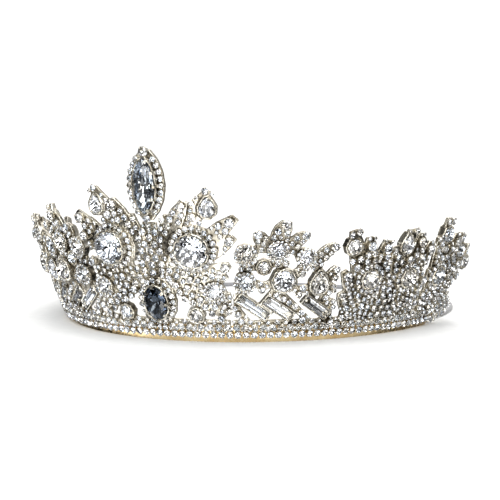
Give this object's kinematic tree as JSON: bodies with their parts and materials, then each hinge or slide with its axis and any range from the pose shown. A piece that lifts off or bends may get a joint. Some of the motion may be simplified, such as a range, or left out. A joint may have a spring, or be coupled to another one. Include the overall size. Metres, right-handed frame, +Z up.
{
  "type": "tiara",
  "caption": "Bridal tiara: a horseshoe base band with openwork leaf castings, cup-set faceted stones, a navette finial and an elastic cord that joins its ends behind the head.",
  "frame": {"origin": "on the surface that the tiara rests on, under the middle of its bounding box, the loose elastic cord not counted", "axes": "+Z up from the rim's lower edge, -Y towards the front where the finial stands, +X towards the viewer's right when seen from the front"},
  "size_m": [0.1752, 0.1798, 0.0692],
  "materials": {
    "band_gold": "polished gold plate",
    "casting_metal": "pale gold plate, polished",
    "crystal": "foil-backed cut crystal",
    "dark_crystal": "foil-backed smoky cut crystal",
    "elastic": "fine braided cover, matt"
  },
  "bodies": {
    "root": {"base_band": "band_gold", "centre_panel": "casting_metal", "oval_stone": "dark_crystal", "large_round_right": "crystal", "peak_pear_right": "crystal", "flower_round_a_right": "crystal", "ring_round_right": "crystal", "large_round_left": "crystal", "peak_pear_left": "crystal", "flower_round_a_left": "crystal", "ring_round_left": "crystal", "finial_setting": "casting_metal", "finial_navette": "crystal", "lattice_right": "casting_metal", "lattice_left": "casting_metal", "flower_round_b_right": "crystal", "flower_round_c_right": "crystal", "flower_round_d_right": "crystal", "flower_round_e_right": "crystal", "lattice_round_right": "crystal", "rimmed_round_right": "crystal", "lattice_pear_right": "crystal", "baguette_a_right": "crystal", "baguette_b_right": "crystal", "baguette_c_right": "crystal", "flower_round_b_left": "crystal", "flower_round_c_left": "crystal", "flower_round_d_left": "crystal", "flower_round_e_left": "crystal", "lattice_round_left": "crystal", "rimmed_round_left": "crystal", "lattice_pear_left": "crystal", "baguette_a_left": "crystal", "baguette_b_left": "crystal", "baguette_c_left": "crystal", "spray_right": "casting_metal", "spray_left": "casting_metal", "spray_round_a_right": "crystal", "spray_round_b_right": "crystal", "spray_pear_right": "crystal", "spray_round_c_right": "crystal", "spray_round_a_left": "crystal", "spray_round_b_left": "crystal", "spray_pear_left": "crystal", "spray_round_c_left": "crystal", "end_spray_right": "casting_metal", "end_spray_left": "casting_metal", "end_round_a_right": "crystal", "end_round_b_right": "crystal", "end_round_c_right": "crystal", "end_round_d_right": "crystal", "end_round_a_left": "crystal", "end_round_b_left": "crystal", "end_round_c_left": "crystal", "end_round_d_left": "crystal", "cord_crimp_right": "band_gold", "cord_crimp_left": "band_gold", "elastic_cord": "elastic"}
  },
  "joints": []
}
